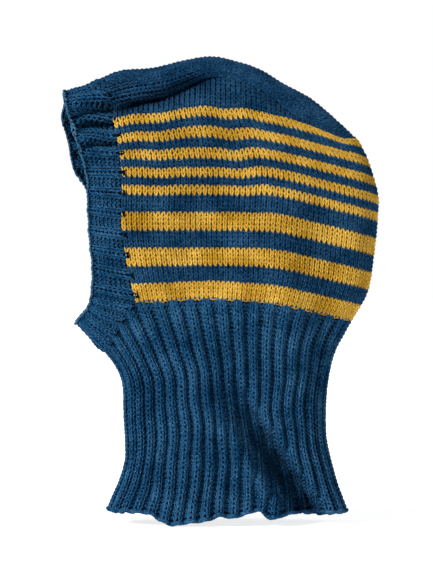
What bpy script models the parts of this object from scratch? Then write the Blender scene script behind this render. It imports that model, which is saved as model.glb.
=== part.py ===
"""Hand-knitted wool balaclava: ribbed neck, striped hood, crown strip and ribbed face band.

Frame: metres, +Z up. The origin is the centre of the head inside the hood. The face looks
towards -X, the back of the head is at +X, and the wearer's left side is at -Y.
Lengths below are in millimetres until the last step, which scales them to metres.

The side of the hood and the neck are one tube. A point on it has a column, counted from the
centre front round to the centre back, and a row, counted up from the hem. The crown strip
closes the top, and the face band is ruled between the edge of that hole and the cast-off edge.
"""

import bpy
import numpy as np

MM = 0.001

# Stitches and rows of the knitting, one half of the hood each
ROW_PITCH = 3.75
NECK_ROWS = 48
STRIPE_ROWS = (4, 4, 4, 4, 4, 4, 2, 2, 2, 2, 2, 2, 2, 2, 2)
CHIN_COLUMNS = 20
SIDE_COLUMNS = 54
HALF_COLUMNS = CHIN_COLUMNS + SIDE_COLUMNS
PANEL_TOP = NECK_ROWS + sum(STRIPE_ROWS)
CROWN_STITCHES = 9
EDGE_STITCHES = 39
HALF_BAND = CROWN_STITCHES + EDGE_STITCHES + CHIN_COLUMNS

# Thickness of the fabric
PANEL_THICK = 4.0
RIB_THICK = 5.0
GAP = 0.35
FOLD_GAP = 0.8
ROOT_GAP = 1.2

# Heights of the rows at the middle of the side
HEM_Z = -266.0
CORNER_Z = -86.5
CHIN_DROP = 44.0
CHIN_START = -82.0
CHIN_REACH = 28.0
CHIN_FADE_ROWS = 4

# Fall of the rows towards the back of the head, and their rise over the ear
DIP_SLOPE = 0.125
DIP_X = 36.0
DIP_SOFTNESS = 13.0
HUMP_X = -20.0
HUMP_REACH = 38.0
HUMP_ROWS = 12
TOP_HUMP = 6.0
CORNER_HUMP = 3.0

# Rows that would pass the crown strip's edge are squeezed together below it
TUCK_CLEARANCE = 1.5
TUCK_PITCH = 1.8
TUCK_SOFTNESS = 1.5

# Outline of the tube: back and front in side view, and half of its width
BACK = ((-266, 95), (-231, 87), (-201, 82), (-179, 80), (-160, 81), (-133, 86), (-107, 99.5),
        (-80, 114), (-50, 119.5), (-15, 124), (0, 125), (19, 121), (37, 115), (54, 106.5))
FRONT = ((-266, -103), (-242, -95), (-204, -90.5), (-175, -93), (-147, -97), (-131, -108),
         (-117, -122), (-103, -136), (-80, -147), (-40, -152), (60, -152))
HALF_WIDTH = ((-266, 50), (-235, 45), (-201, 41), (-160, 41), (-125, 45), (-90, 50), (-40, 54),
              (10, 55), (60, 53))
ROUNDNESS = 2.5

# Front edge of the striped hood, where the face band is picked up
PICK_UP = ((-60, -87.5), (-27, -92.5), (28, -93.5), (70, -100), (84, -103))

# Crown strip: its ridge line, its side edge, and half of its width
RIDGE = ((-113, 102.5), (-88, 110), (-62, 114), (-42, 119), (-16, 122.5), (6, 117.7), (22, 112.5),
         (45, 99), (69, 86), (94, 65.5), (106, 54.5))
STRIP_EDGE = ((-113, 80), (-103, 81.5), (-72, 88), (-52, 92.5), (-21, 104), (-7, 103.5), (14, 97.5),
              (31, 88.5), (45, 77), (65, 65), (81, 58), (97, 52.5), (106, 54))
STRIP_HALF_WIDTH = ((-113, 35), (-20, 37), (30, 35), (80, 30), (97, 26))
STRIP_FRONT = -113.0
STRIP_BACK = 97.0
STRIP_END_CENTRE = (70.0, 0.0, 0.0)
STRIP_END_CLEARANCE = 1.2
STRIP_CORNER_Z = 84.0
STRIP_CROWN = 0.9
SHOULDER = 45.0
LEAST_ROOM = 3.0

# Cast-off edge of the left half of the face band: stitch, then x, y, z
CAST_OFF = (
    (0, -146, 0, 92),
    (6, -144.5, -25, 89),
    (10, -141.5, -34, 76),
    (15, -136, -38, 57),
    (20, -130, -39, 38),
    (24, -125.5, -38, 20),
    (30, -124.5, -37, -4),
    (37, -123, -36, -34),
    (43, -120.5, -36, -58),
    (48, -121, -36, -78),
    (54, -124.5, -32, -90),
    (61, -131.5, -19, -98),
    (68, -136, 0, -103),
)
RIGHT_TEMPLE_LEAD = 8.0
TEMPLE_LOW = (0.0, 30.0)
TEMPLE_HIGH = (95.0, 70.0)
BAND_BULGE = 2.0

# Half of the widths of the face band sections that fold
BROW_HALF = 26.0
CHIN_HALF = 28.0
FOLD_STITCHES = 18

# Yarn edges and ridges
EDGE_RADIUS = 2.0
EDGE_CLEARANCE = 0.8
EDGE_ROOM = 2 * EDGE_RADIUS + EDGE_CLEARANCE
RIDGE_RADIUS = 1.5
STRAND_RADIUS = 1.0

BLUE = (0.018, 0.055, 0.125, 1.0)
LIGHT_BLUE = (0.06, 0.15, 0.27, 1.0)
YELLOW = (0.72, 0.38, 0.03, 1.0)


def smooth(keys, at, column=1):
    """Value of a smooth curve through rows of keys whose first number is the position."""
    keys = np.asarray(keys, float)
    x = keys[:, 0]
    y = keys[:, column]
    slope = np.gradient(y, x)
    at = np.clip(at, x[0], x[-1])
    i = np.clip(np.searchsorted(x, at, side="right") - 1, 0, len(x) - 2)
    step = x[i + 1] - x[i]
    t = (at - x[i]) / step
    start = (1 + 2 * t) * (1 - t) ** 2 * y[i] + t * (1 - t) ** 2 * step * slope[i]
    end = t * t * (3 - 2 * t) * y[i + 1] + t * t * (t - 1) * step * slope[i + 1]
    return start + end


def ramp(value, low, high):
    t = np.clip((value - low) / (high - low), 0, 1)
    return t * t * (3 - 2 * t)


def dip(x):
    """How far a row of the hood falls towards the back of the head."""
    return DIP_SLOPE * (np.sqrt((x - DIP_X) ** 2 + DIP_SOFTNESS ** 2) + (x - DIP_X))


def row_height(x, row):
    """Height of a row where it passes x: it drops to the chin and to the back of the head."""
    neck = np.clip(row / NECK_ROWS, 0, 1)
    level = HEM_Z + (CORNER_Z - HEM_Z) * neck + ROW_PITCH * np.maximum(row - NECK_ROWS, 0)
    chin = np.clip((CHIN_START - x) / CHIN_REACH, 0, 1.2) ** 1.2
    chin_drop = CHIN_DROP * neck ** 2 * chin * ramp(row, NECK_ROWS + CHIN_FADE_ROWS, NECK_ROWS)
    back_dip = dip(x) * (1.3 * ramp(neck, 0, 1) - 0.3)
    top_hump = TOP_HUMP * ramp(row, PANEL_TOP - HUMP_ROWS, PANEL_TOP)
    corner_hump = CORNER_HUMP * ramp(row, NECK_ROWS + HUMP_ROWS, NECK_ROWS)
    hump = np.exp(-((x - HUMP_X) / HUMP_REACH) ** 2) * (top_hump + corner_hump)
    free = level - chin_drop - back_dip + hump
    tucked = smooth(STRIP_EDGE, x) - TUCK_CLEARANCE - TUCK_PITCH * (PANEL_TOP - row)
    return -TUCK_SOFTNESS * np.logaddexp(-free / TUCK_SOFTNESS, -tucked / TUCK_SOFTNESS)


def ring_point(angle, row):
    """Point of the tube's left half at an angle from the centre front (0) to the back (pi)."""
    cosine = np.cos(angle)
    reach = np.abs(cosine) ** (2 / ROUNDNESS) * np.sign(cosine)
    height = row_height(0.0 * angle, row)
    for _ in range(24):
        nose = smooth(FRONT, height)
        back = smooth(BACK, height)
        x = (nose + back) / 2 - (back - nose) / 2 * reach
        height += 0.4 * (row_height(x, row) - height)
    width = smooth(HALF_WIDTH, height) * np.sin(angle) ** (2 / ROUNDNESS)
    strip_width = smooth(STRIP_HALF_WIDTH, x)
    rise = np.clip((smooth(STRIP_EDGE, x) - height) / SHOULDER, 0, 1)
    shoulder = strip_width + (width - strip_width) * np.sqrt(1 - (1 - rise) ** 2)
    return np.stack([x, -np.minimum(width, shoulder), height], -1)


def along(points, share):
    """Points at shares of the length of a line."""
    length = np.r_[0, np.cumsum(np.linalg.norm(np.diff(points, axis=0), axis=1))]
    return np.stack([np.interp(share * length[-1], length, points[:, k]) for k in range(3)], -1)


def half_ring(row):
    return ring_point(np.linspace(0, np.pi, 400), np.full(400, float(row)))


def corner_x():
    return along(half_ring(NECK_ROWS), np.array([CHIN_COLUMNS / HALF_COLUMNS]))[0, 0]


CORNER_X = corner_x()


def pick_up_x(height):
    return smooth(((CORNER_Z - 1, CORNER_X),) + PICK_UP, height)


def neck_line(row, columns):
    """Left-hand points of a neck row at columns counted from the centre front."""
    return along(half_ring(row), np.asarray(columns) / HALF_COLUMNS)


def hood_line(row, shares):
    """Left-hand points of a hood row at shares from the pick-up edge (0) to the back (1)."""
    ring = half_ring(row)
    kept = ring[:, 0] >= pick_up_x(ring[:, 2])
    first = max(int(np.argmax(kept)), 1)
    outside = ring[first - 1, 0] - pick_up_x(ring[first - 1, 2])
    inside = ring[first, 0] - pick_up_x(ring[first, 2])
    cut = ring[first - 1] + (ring[first] - ring[first - 1]) * outside / (outside - inside)
    return along(np.vstack([cut, ring[first:]]), np.asarray(shares))


def upper_line(share, shares):
    """Left-hand points between the top stripe (0) and the crown strip (1)."""
    base = hood_line(PANEL_TOP, np.linspace(0, 1, 400))
    room = smooth(STRIP_EDGE, base[:, 0]) - base[:, 2]
    last = np.flatnonzero(room > LEAST_ROOM)[-1]
    x = np.interp(shares, [0, 1], [base[0, 0], base[last, 0]])
    low = np.stack([np.interp(x, base[:, 0], base[:, k]) for k in range(3)], -1)
    width = smooth(STRIP_HALF_WIDTH, x)
    high = np.stack([x, -np.minimum(width, -low[:, 1]), smooth(STRIP_EDGE, x)], -1)
    line = low + (high - low) * share
    line[:, 1] = high[:, 1] + (low[:, 1] - high[:, 1]) * np.sqrt(1 - share)
    return line


def strip_line(lean, shares):
    """Points along the crown strip at a lean from its ridge (0) to its left edge (1)."""
    angle = lean * np.pi / 2
    shares = np.asarray(shares, float)
    end = strip_end(abs(lean)) * np.array([1.0, np.sign(lean), 1.0])
    front = STRIP_FRONT + (pick_up_x(STRIP_CORNER_Z) - STRIP_FRONT) * lean ** 2
    x = front + (end[0] - front) * shares
    top = smooth(RIDGE, x)
    edge = np.minimum(smooth(STRIP_EDGE, x), top)
    y = -smooth(STRIP_HALF_WIDTH, x) * np.sin(angle)
    z = edge + (top - edge) * np.cos(angle) ** STRIP_CROWN
    line = np.stack([x, y, z], -1)
    return line + (end - line[-1]) * ramp(shares, 0.75, 1.0)[:, None] * (shares[-1] > 0.9)


def strip_end(lean):
    """Where the crown strip meets the top stripe at the back, just above its last row."""
    base = hood_line(PANEL_TOP, np.linspace(0, 1, 400))
    back = base[base[:, 0] > STRIP_BACK]
    point = along(back, np.array([1 - lean]))[0]
    return point + np.array([0.0, 0.0, STRIP_END_CLEARANCE])


def surface_normals(points):
    """Unit normals of a grid of points, along its first axis then its second."""
    first = np.gradient(points, axis=0)
    second = np.gradient(points, axis=1)
    normal = np.cross(first, second)
    return normal / np.linalg.norm(normal, axis=-1, keepdims=True)


def mirrored(points):
    return points * np.array([1.0, -1.0, 1.0])


def clear_scene():
    for thing in list(bpy.data.objects):
        bpy.data.objects.remove(thing, do_unlink=True)


def wool(name, colour):
    material = bpy.data.materials.new(name)
    material.use_nodes = True
    shader = material.node_tree.nodes["Principled BSDF"]
    shader.inputs["Base Color"].default_value = colour
    shader.inputs["Roughness"].default_value = 0.95
    shader.inputs["Metallic"].default_value = 0.0
    return material


def add_mesh(name, vertices, faces, material):
    mesh = bpy.data.meshes.new(name)
    mesh.from_pydata([tuple(v) for v in np.asarray(vertices) * MM], [], faces)
    mesh.update()
    mesh.shade_smooth()
    mesh.set_sharp_from_angle(angle=0.9)
    piece = bpy.data.objects.new(name, mesh)
    bpy.context.collection.objects.link(piece)
    piece.data.materials.append(material)
    return piece


def shell(name, outer, inward, material, closed=False):
    """Closed fabric sheet: a grid of outer points, and the way from each to its inner point."""
    rows, columns = outer.shape[:2]
    inner = outer + inward
    vertices = np.vstack([outer.reshape(-1, 3), inner.reshape(-1, 3)])
    below = rows * columns
    faces = []
    last = columns if closed else columns - 1
    for r in range(rows - 1):
        for c in range(last):
            d = (c + 1) % columns
            quad = [r * columns + c, r * columns + d, (r + 1) * columns + d, (r + 1) * columns + c]
            faces.append(quad)
            faces.append([below + i for i in reversed(quad)])
    for c in range(last):
        d = (c + 1) % columns
        faces.append([c, below + c, below + d, d])
        top = (rows - 1) * columns
        faces.append([top + d, below + top + d, below + top + c, top + c])
    if not closed:
        for r in range(rows - 1):
            near, far = r * columns, (r + 1) * columns
            faces.append([far, below + far, below + near, near])
            near, far = near + columns - 1, far + columns - 1
            faces.append([near, below + near, below + far, far])
    return outward(add_mesh(name, vertices, faces, material))


def outward(piece):
    """Turn the faces over if the closed mesh is inside out."""
    mesh = piece.data
    volume = 0.0
    for face in mesh.polygons:
        corners = [mesh.vertices[i].co for i in face.vertices]
        for second, third in zip(corners[1:], corners[2:]):
            volume += corners[0].dot(second.cross(third))
    if volume < 0:
        mesh.flip_normals()
    return piece


def tube(name, path, radius, material, closed=False, sides=6):
    """Closed tube of yarn along a path."""
    count = len(path)
    if closed:
        heading = np.roll(path, -1, 0) - np.roll(path, 1, 0)
    else:
        heading = np.gradient(path, axis=0)
    heading /= np.linalg.norm(heading, axis=1, keepdims=True)
    across = np.cross(heading, np.array([1.0, 0.0, 0.17]))
    across /= np.linalg.norm(across, axis=1, keepdims=True)
    other = np.cross(heading, across)
    turn = np.linspace(0, 2 * np.pi, sides, endpoint=False)
    rings = [path + radius * (np.cos(a) * across + np.sin(a) * other) for a in turn]
    vertices = np.stack(rings, 1).reshape(-1, 3)
    faces = []
    for r in range(count if closed else count - 1):
        near = r * sides
        far = (r + 1) % count * sides
        for s in range(sides):
            t = (s + 1) % sides
            faces.append([near + s, near + t, far + t, far + s])
    if not closed:
        faces.append(list(reversed(range(sides))))
        faces.append(list(range((count - 1) * sides, count * sides)))
    return outward(add_mesh(name, vertices, faces, material))


def tube_inward(line_of, rows, columns, thickness):
    """Offsets to the inside of the fabric, the same wherever two pieces of the tube meet."""
    offsets = []
    for row in rows:
        middle = line_of(row, columns)
        up = line_of(row + 0.5, columns) - line_of(row - 0.5, columns)
        normal = np.cross(np.gradient(middle, axis=0), up)
        normal /= np.linalg.norm(normal, axis=1, keepdims=True)
        offsets.append(-normal * thickness)
    return np.stack(offsets)


def inward_of(grid, thickness):
    """Offsets from a grid's outer points to the inside of the fabric."""
    normal = surface_normals(grid)
    middle = grid.reshape(-1, 3).mean(0) * np.array([1.0, 0.0, 1.0])
    side = np.sign(np.sum(normal * (grid - middle)))
    return -normal * side * thickness


def whole(half):
    """A left-hand grid joined at the centre back to its mirror image."""
    return np.concatenate([half, mirrored(half)[:, -2::-1]], axis=1)


def with_margins(first, last, count):
    """Rows from first to last that stop half a gap short at both ends."""
    margin = GAP / 2 / ROW_PITCH
    return np.linspace(first + margin, last - margin, count)


def make_neck(blue):
    rows = with_margins(0, NECK_ROWS, 8)
    columns = np.linspace(0, HALF_COLUMNS, 21)
    grid = whole(np.stack([neck_line(row, columns) for row in rows]))[:, :-1]
    offsets = whole(tube_inward(neck_line, rows, columns, RIB_THICK))[:, :-1]
    offsets[:, [0, len(columns) - 1], 1] = 0.0
    shell("neck_ribbing", grid, offsets, blue, closed=True)
    hem = grid[0] + offsets[0] / 2
    hem[:, 2] -= EDGE_RADIUS + GAP
    tube("cast_on_edge", hem, EDGE_RADIUS, blue, closed=True)


def make_stripes(blue, yellow):
    """Bands of the hood from the neck up, blue and yellow in turn, stripe 1 the highest."""
    start = NECK_ROWS
    shares = np.linspace(0, 1, 15)
    for k, height in enumerate(STRIPE_ROWS):
        is_yellow = k % 2 == 0
        number = (len(STRIPE_ROWS) - k + 1) // 2 if is_yellow else (len(STRIPE_ROWS) - k) // 2
        rows = with_margins(start, start + height, 2)
        grid = whole(np.stack([hood_line(row, shares) for row in rows]))
        offsets = whole(tube_inward(hood_line, rows, shares, PANEL_THICK))
        offsets[:, len(shares) - 1, 1] = 0.0
        name = f"yellow_stripe_{number}" if is_yellow else f"blue_band_{number}"
        shell(name, grid, offsets, yellow if is_yellow else blue)
        start += height


def make_upper_sides(blue):
    shares = np.linspace(0, 1, 13)
    low = 0.08
    grid = np.stack([upper_line(s, shares) for s in (low, 0.35, 0.7, 0.9, 0.985)])
    offsets = inward_of(grid, PANEL_THICK)
    shell("upper_side_left", grid, offsets, blue)
    shell("upper_side_right", mirrored(grid), mirrored(offsets), blue)


def strip_grid():
    leans = np.linspace(-1, 1, 11)
    shares = np.linspace(0.002, 0.998, 17)
    return np.stack([strip_line(lean, shares) for lean in leans])


def make_crown_strip(blue):
    grid = strip_grid()
    offsets = inward_of(grid, PANEL_THICK)
    end = (grid[:, -1] - STRIP_END_CENTRE) * np.array([1.0, 1.0, 0.0])
    offsets[:, -1] = -PANEL_THICK * end / np.linalg.norm(end, axis=1, keepdims=True)
    shell("crown_strip", grid, offsets, blue)


def band_root():
    """Outer points of the pick-up line of the left half, one for each stitch and its end."""
    crown = np.stack([strip_line(lean, [0.0])[0] for lean in np.linspace(0, 1, CROWN_STITCHES + 1)])
    rows = np.linspace(PANEL_TOP, NECK_ROWS, 60)
    edge = np.stack([hood_line(row, [0.0])[0] for row in rows])
    edge = along(np.vstack([crown[-1:], edge]), np.linspace(0, 1, EDGE_STITCHES + 1))
    chin = neck_line(NECK_ROWS, np.arange(CHIN_COLUMNS, -1, -1))
    return np.vstack([crown, edge[1:], chin[1:]])


def band_edge(right=False):
    stitch = np.arange(HALF_BAND + 1)
    edge = np.stack([smooth(CAST_OFF, stitch, k) for k in (1, 2, 3)], -1)
    if right:
        lead = ramp(edge[:, 2], *TEMPLE_LOW) * ramp(edge[:, 2], *TEMPLE_HIGH)
        edge[:, 0] -= RIGHT_TEMPLE_LEAD * lead
        edge = mirrored(edge)
    return edge


def band_grid(right=False):
    """Outer skin of one half of the face band: five lines from its root to its edge."""
    root = band_root()
    if right:
        root = mirrored(root)
    edge = band_edge(right)
    grid = np.stack([root + (edge - root) * s for s in np.linspace(0, 1, 5)])
    bulge = -inward_of(grid, BAND_BULGE)
    return grid + bulge * np.array([0, 0.75, 1, 0.75, 0]).reshape(5, 1, 1)


def trimmed(grid, root_gap, edge_gap):
    """The same grid with its first and last lines pulled in."""
    length = np.linalg.norm(grid[-1] - grid[0], axis=-1, keepdims=True)
    grid = grid.copy()
    grid[0] += (grid[1] - grid[0]) / length * 4 * root_gap
    grid[-1] -= (grid[-1] - grid[-2]) / length * 4 * edge_gap
    return grid


def band_inward(grid, sign):
    """Offsets to the inside of the face band; at the chin they match the neck's last row."""
    offsets = inward_of(grid, PANEL_THICK)
    columns = np.arange(CHIN_COLUMNS + 1)
    chin = tube_inward(neck_line, [NECK_ROWS], columns, PANEL_THICK)[0, ::-1]
    offsets[0, -CHIN_COLUMNS - 1:] = chin * np.array([1.0, -sign, 1.0])
    return offsets


def flat_end(grid, offsets, column, y):
    """Bring one end of a section, outside and inside, onto a plane of constant y."""
    grid[:, column, 1] = y
    offsets[:, column, 1] = 0.0


def stitch_at(line, half, backward=False):
    """Stitch of a band line where it is half a section's width from the middle."""
    away = np.abs(line[::-1, 1] if backward else line[:, 1])[:FOLD_STITCHES]
    stitch = np.interp(half, away, np.arange(float(FOLD_STITCHES)))
    return HALF_BAND - stitch if backward else stitch


def resampled(grid, offsets, starts, ends, count):
    """Band lines and their offsets between two stitches of each line."""
    stitches = np.arange(HALF_BAND + 1)
    parts = []
    for rows in (grid, offsets):
        lines = []
        for line, start, end in zip(rows, starts, ends):
            at = np.linspace(start, end, count)
            lines.append(np.stack([np.interp(at, stitches, line[:, k]) for k in range(3)], -1))
        parts.append(np.stack(lines))
    return parts


def band_half(right):
    """The brow, side and chin parts of half the face band, as grids and offsets."""
    sign = 1 if right else -1
    grid = trimmed(band_grid(right), ROOT_GAP, EDGE_ROOM)
    offsets = band_inward(grid, sign)
    lines = len(grid)
    brow_end = [stitch_at(line, BROW_HALF) for line in grid]
    brow_cut = [stitch_at(line, BROW_HALF - FOLD_GAP) for line in grid]
    chin_start = [stitch_at(line, CHIN_HALF, True) for line in grid]
    chin_cut = [stitch_at(line, CHIN_HALF - FOLD_GAP, True) for line in grid]
    brow = resampled(grid, offsets, [0] * lines, brow_cut, 4)
    side = resampled(grid, offsets, brow_end, chin_start, 18)
    chin = resampled(grid, offsets, chin_cut, [HALF_BAND] * lines, 5)
    flat_end(*brow, -1, sign * (BROW_HALF - FOLD_GAP))
    flat_end(*side, 0, sign * BROW_HALF)
    flat_end(*side, -1, sign * CHIN_HALF)
    flat_end(*chin, 0, sign * (CHIN_HALF - FOLD_GAP))
    flat_end(*brow, 0, 0.0)
    flat_end(*chin, -1, 0.0)
    return brow, side, chin


def band_sections():
    """Outer grids and offsets of the four face band sections."""
    left_brow, left_side, left_chin = band_half(right=False)
    right_brow, right_side, right_chin = band_half(right=True)
    brow = [np.concatenate([r[:, :0:-1], l], axis=1) for l, r in zip(left_brow, right_brow)]
    chin = [np.concatenate([l, r[:, -2::-1]], axis=1) for l, r in zip(left_chin, right_chin)]
    return {
        "forehead_band": brow,
        "chin_band": chin,
        "face_band_left": left_side,
        "face_band_right": right_side,
    }


def make_face_band(blue, light_blue):
    for name, (grid, offsets) in band_sections().items():
        shell(name, grid, offsets, blue)
        reach = np.cross(np.gradient(grid[-1], axis=0), offsets[-1])
        reach *= np.sign(np.sum(reach * (grid[-1] - grid[-2]), axis=-1, keepdims=True))
        reach /= np.linalg.norm(reach, axis=-1, keepdims=True)
        path = grid[-1] + offsets[-1] / 2 + reach * (EDGE_RADIUS + EDGE_CLEARANCE)
        path[[0, -1]] += (path[[1, -2]] - path[[0, -1]]) * 0.12
        tube(name.replace("_band", "_cast_off"), path, EDGE_RADIUS, light_blue)


def make_ridges(blue, yellow):
    """Ridges of joined stitches inside the hood, and the yellow strand carried up its edge."""
    rows = np.linspace(NECK_ROWS + 1, PANEL_TOP - 1, 15)
    grid = np.stack([hood_line(row, [0.012, 0.03, 0.05]) for row in rows])
    inside = inward_of(grid, PANEL_THICK + RIDGE_RADIUS + GAP)
    path = (grid + inside)[:, 0]
    tube("pick_up_ridge_left", path, RIDGE_RADIUS, blue, sides=5)
    tube("pick_up_ridge_right", mirrored(path), RIDGE_RADIUS, blue, sides=5)
    inside = inward_of(grid, PANEL_THICK + STRAND_RADIUS + GAP)
    strand = (grid + inside)[:, 2]
    tube("carried_yellow_yarn", strand, STRAND_RADIUS, yellow, sides=5)
    grid = strip_grid()
    inside = inward_of(grid, PANEL_THICK + RIDGE_RADIUS + GAP)
    path = (grid + inside)[-2, 1:-1]
    tube("crown_join_left", path, RIDGE_RADIUS, blue, sides=5)
    tube("crown_join_right", mirrored(path), RIDGE_RADIUS, blue, sides=5)


def main():
    clear_scene()
    blue = wool("blue_wool", BLUE)
    light_blue = wool("cast_off_wool", LIGHT_BLUE)
    yellow = wool("yellow_wool", YELLOW)
    make_neck(blue)
    make_stripes(blue, yellow)
    make_upper_sides(blue)
    make_crown_strip(blue)
    make_face_band(blue, light_blue)
    make_ridges(blue, yellow)


main()
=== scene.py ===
"""Looks of the hand-knitted balaclava: every stitch is modelled as a loop of yarn.

The frame is the CAD's: metres, +Z up, the origin at the centre of the head, the face towards
-X and the wearer's left side at -Y. Shapes are worked out in millimetres and scaled once, when
a mesh is made. A place in the fabric has u, in stitches across, and v, in rows.
"""

import bpy
import numpy as np
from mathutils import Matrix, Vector


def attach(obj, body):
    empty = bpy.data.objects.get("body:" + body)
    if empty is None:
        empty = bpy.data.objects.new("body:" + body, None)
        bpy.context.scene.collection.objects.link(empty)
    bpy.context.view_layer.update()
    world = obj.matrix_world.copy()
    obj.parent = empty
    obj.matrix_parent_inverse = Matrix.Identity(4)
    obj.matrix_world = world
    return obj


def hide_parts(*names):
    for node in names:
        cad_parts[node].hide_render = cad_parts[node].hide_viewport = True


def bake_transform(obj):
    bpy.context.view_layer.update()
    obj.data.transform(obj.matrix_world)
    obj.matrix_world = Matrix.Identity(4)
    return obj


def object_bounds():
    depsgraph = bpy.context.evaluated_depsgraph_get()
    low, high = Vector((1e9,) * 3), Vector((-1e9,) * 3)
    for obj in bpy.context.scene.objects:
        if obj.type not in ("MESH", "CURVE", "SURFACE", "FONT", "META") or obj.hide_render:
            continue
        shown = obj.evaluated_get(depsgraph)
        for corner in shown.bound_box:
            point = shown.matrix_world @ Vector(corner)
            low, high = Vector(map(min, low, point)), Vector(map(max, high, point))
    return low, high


MM = 0.001

# Stitches and rows, as in the CAD; the stripes run from the neck up, yellow first
ROW_PITCH = 3.75
NECK_ROWS = 48
STRIPE_ROWS = (4, 4, 4, 4, 4, 4, 2, 2, 2, 2, 2, 2, 2, 2, 2)
CHIN_COLUMNS = 20
SIDE_COLUMNS = 54
HALF_COLUMNS = CHIN_COLUMNS + SIDE_COLUMNS
PANEL_TOP = NECK_ROWS + sum(STRIPE_ROWS)
CROWN_STITCHES = 9
STRIP_ROWS = 62
EDGE_STITCHES = 39
HALF_BAND = CROWN_STITCHES + EDGE_STITCHES + CHIN_COLUMNS
BAND_ROWS = 8
UPPER_ROWS = 9

# Outer skin of the hood, in millimetres: these lines and numbers are the CAD's
HEM_Z = -266.0
CORNER_Z = -86.5
CHIN_DROP = 44.0
CHIN_START = -82.0
CHIN_REACH = 28.0
CHIN_FADE_ROWS = 4
DIP_SLOPE = 0.125
DIP_X = 36.0
DIP_SOFTNESS = 13.0
HUMP_X = -20.0
HUMP_REACH = 38.0
HUMP_ROWS = 12
TOP_HUMP = 6.0
CORNER_HUMP = 3.0
TUCK_CLEARANCE = 1.5
TUCK_PITCH = 1.8
TUCK_SOFTNESS = 1.5
BACK = ((-266, 95), (-231, 87), (-201, 82), (-179, 80), (-160, 81), (-133, 86), (-107, 99.5),
        (-80, 114), (-50, 119.5), (-15, 124), (0, 125), (19, 121), (37, 115), (54, 106.5))
FRONT = ((-266, -103), (-242, -95), (-204, -90.5), (-175, -93), (-147, -97), (-131, -108),
         (-117, -122), (-103, -136), (-80, -147), (-40, -152), (60, -152))
HALF_WIDTH = ((-266, 50), (-235, 45), (-201, 41), (-160, 41), (-125, 45), (-90, 50), (-40, 54),
              (10, 55), (60, 53))
ROUNDNESS = 2.5
PICK_UP = ((-60, -87.5), (-27, -92.5), (28, -93.5), (70, -100), (84, -103))
RIDGE = ((-113, 102.5), (-88, 110), (-62, 114), (-42, 119), (-16, 122.5), (6, 117.7), (22, 112.5),
         (45, 99), (69, 86), (94, 65.5), (106, 54.5))
STRIP_EDGE = ((-113, 80), (-103, 81.5), (-72, 88), (-52, 92.5), (-21, 104), (-7, 103.5), (14, 97.5),
              (31, 88.5), (45, 77), (65, 65), (81, 58), (97, 52.5), (106, 54))
STRIP_HALF_WIDTH = ((-113, 35), (-20, 37), (30, 35), (80, 30), (97, 26))
STRIP_FRONT = -113.0
STRIP_BACK = 97.0
STRIP_END_CLEARANCE = 1.2
STRIP_CORNER_Z = 84.0
STRIP_CROWN = 0.9
SHOULDER = 45.0
LEAST_ROOM = 3.0
CAST_OFF = ((0, -146, 0, 92), (6, -144.5, -25, 89), (10, -141.5, -34, 76), (15, -136, -38, 57),
            (20, -130, -39, 38), (24, -125.5, -38, 20), (30, -124.5, -37, -4), (37, -123, -36, -34),
            (43, -120.5, -36, -58), (48, -121, -36, -78), (54, -124.5, -32, -90),
            (61, -131.5, -19, -98), (68, -136, 0, -103))
RIGHT_TEMPLE_LEAD = 8.0
TEMPLE_LOW = (0.0, 30.0)
TEMPLE_HIGH = (95.0, 70.0)
BAND_BULGE = 2.0
EDGE_ROOM = 4.8

# Yarn, and how a loop of it lies: in stitches across and rows up, and in millimetres deep
YARN_RADIUS = 0.86
LOOP_LEAN = 0.26
LOOP_GROUPING = 0.042
LOOP_HEIGHT = 0.8
LOOP_DEPTH = 0.9

# How much loops differ by chance: up or down in rows, in depth in millimetres, the rest as shares
LOOSENESS = 0.05
LEAN_VARIES = 0.15
HEIGHT_VARIES = 0.03
DEPTH_VARIES = 0.12
RADIUS_VARIES = 0.05

# Detail of a mesh: rings of a tube to a stitch, its sides, half of the lining's thickness in
# millimetres, and the steps of a sheet's grid in stitches and rows
RINGS = 8
SIDES = 6
LINING = 0.1
FINE = 0.25
HALF_ROW = 0.5

# Ribs, two stitches knit and two purl: the fabric folds so that the yarn keeps its length
RIB_STITCHES = 4
NECK_STITCHES = 168
BAND_STITCHES = 144
STITCH_WIDTH = 4.4
RIB_LEAST = 0.2
RIB_MOST = 0.8
RIB_WARP = 0.18
RIB_SHARPNESS = 0.4
RIB_FADE = (48.6, 44.5)
SHARPNESS_FADE = (46, 24)
BAND_RIB_SHARE = 0.85
EDGE_RIB_LOSS = 0.6
EDGE_RIB_FADE = (4, BAND_ROWS)

# How far the middle of the fabric lies below the outer skin, and the neck's below that again
PANEL_DEPTH = 2.0
NECK_DEPTH = 1.8
STRIP_DEPTH = 2.0
BAND_DEPTH = 2.6


# ---------------- the hood's surface

def smooth(keys, at, column=1):
    """Value of a smooth curve through rows of keys whose first number is the position."""
    keys = np.asarray(keys, float)
    x = keys[:, 0]
    y = keys[:, column]
    slope = np.gradient(y, x)
    at = np.clip(at, x[0], x[-1])
    i = np.clip(np.searchsorted(x, at, side="right") - 1, 0, len(x) - 2)
    step = x[i + 1] - x[i]
    t = (at - x[i]) / step
    start = (1 + 2 * t) * (1 - t) ** 2 * y[i] + t * (1 - t) ** 2 * step * slope[i]
    end = t * t * (3 - 2 * t) * y[i + 1] + t * t * (t - 1) * step * slope[i + 1]
    return start + end


def ramp(value, low, high):
    """Smooth step from 0 at low to 1 at high, which may be the smaller of the two."""
    t = np.clip((value - low) / (high - low), 0, 1)
    return t * t * (3 - 2 * t)


def bump(value, centre, reach):
    """Smooth bump of height 1 round a centre; reach is half of its width."""
    return np.exp(-((value - centre) / reach) ** 2)


def dip(x):
    """How far a row of the hood falls towards the back of the head."""
    return DIP_SLOPE * (np.sqrt((x - DIP_X) ** 2 + DIP_SOFTNESS ** 2) + (x - DIP_X))


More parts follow.
